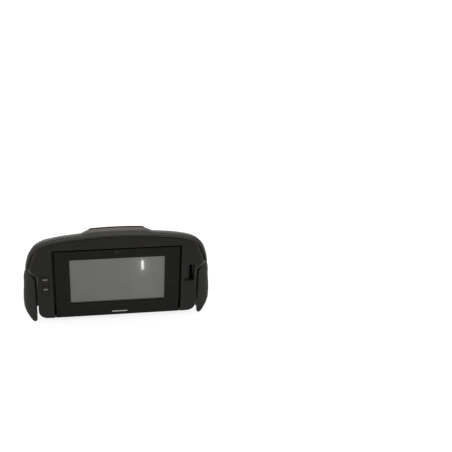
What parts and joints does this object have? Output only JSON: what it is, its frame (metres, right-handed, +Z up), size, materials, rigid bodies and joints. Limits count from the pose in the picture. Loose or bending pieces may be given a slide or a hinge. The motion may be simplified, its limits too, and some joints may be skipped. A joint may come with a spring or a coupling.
{
  "type": "dashboard display unit",
  "caption": "Hooded dashboard display pod with a recessed wide display, two keys, a card slot and textured side wings.",
  "frame": {"origin": "middle of the underside of the mounting bracket's feet, halfway along the unit's depth and width", "axes": "+X to the right seen from the front, +Y from the display towards the rear, +Z up; the display faces -Y"},
  "size_m": [0.255, 0.1088, 0.1435],
  "materials": {
    "hood_plastic": "fine-grained satin black moulding",
    "fascia_plastic": "smooth satin black moulding",
    "wing_plastic": "leather-grained black moulding",
    "gloss_black": "polished piano black",
    "display_glass": "clear touch sheet over a dark grey display, low gloss",
    "inner_plastic": "plain black moulding",
    "light_mark": "translucent white",
    "smoked_lens": "smoked translucent moulding",
    "steel": "zinc-plated sheet",
    "aluminium": "bare extruded",
    "circuit_board": "green solder mask",
    "ceramic": "unglazed",
    "soft_seal": "closed-cell black foam rubber",
    "brass": "plated contacts",
    "backlight_white": "white reflector",
    "connector_blue": "moulded blue"
  },
  "bodies": {
    "root": {"hood": "hood_plastic", "hood_rear_seal": "soft_seal", "crest_seal": "soft_seal", "front_fascia": "fascia_plastic", "left_wing": "wing_plastic", "right_wing": "wing_plastic", "left_spring_clip": "steel", "right_spring_clip": "steel", "lower_housing": "inner_plastic", "mounting_bracket": "steel", "display_bezel": "gloss_black", "light_sensor_lens": "smoked_lens", "touch_panel": "display_glass", "display_gasket": "soft_seal", "lcd_cell": "gloss_black", "backlight_unit": "backlight_white", "display_frame": "steel", "display_screw_1": "steel", "display_screw_2": "steel", "display_screw_3": "steel", "display_screw_4": "steel", "main_board": "circuit_board", "board_screw_1": "steel", "board_screw_2": "steel", "board_screw_3": "steel", "board_screw_4": "steel", "shield_can": "steel", "thermal_pad": "soft_seal", "heat_spreader": "aluminium", "display_flex": "brass", "flex_socket": "inner_plastic", "gps_antenna_base": "circuit_board", "gps_patch": "ceramic", "gps_cable": "inner_plastic", "power_connector": "inner_plastic", "power_pins": "brass", "antenna_connector": "connector_blue", "antenna_pin": "brass", "upper_switch": "inner_plastic", "lower_switch": "inner_plastic", "key_board": "circuit_board", "card_socket": "inner_plastic", "card_socket_cover": "steel", "card_spring": "steel", "bracket_screw_1": "steel", "bracket_screw_2": "steel", "bracket_screw_3": "steel", "bracket_screw_4": "steel"},
    "upper_key": {"upper_key": "fascia_plastic", "upper_key_light_pipe": "smoked_lens", "upper_switch_plunger": "light_mark"},
    "lower_key": {"lower_key": "fascia_plastic", "lower_key_light_pipe": "smoked_lens", "lower_switch_plunger": "light_mark"},
    "card_slider": {"card_slider": "inner_plastic"}
  },
  "joints": [
    {"name": "upper_key_press", "type": "slide", "parent": "root", "child": "upper_key", "axis": [0, 1, 0], "range_m": [0, 0.0007], "stiffness_N_per_m": 800},
    {"name": "lower_key_press", "type": "slide", "parent": "root", "child": "lower_key", "axis": [0, 1, 0], "range_m": [0, 0.0007], "stiffness_N_per_m": 800},
    {"name": "card_slider_travel", "type": "slide", "parent": "root", "child": "card_slider", "axis": [0, 1, 0], "range_m": [0, 0.005], "stiffness_N_per_m": 120, "deforming": ["card_spring"]}
  ]
}
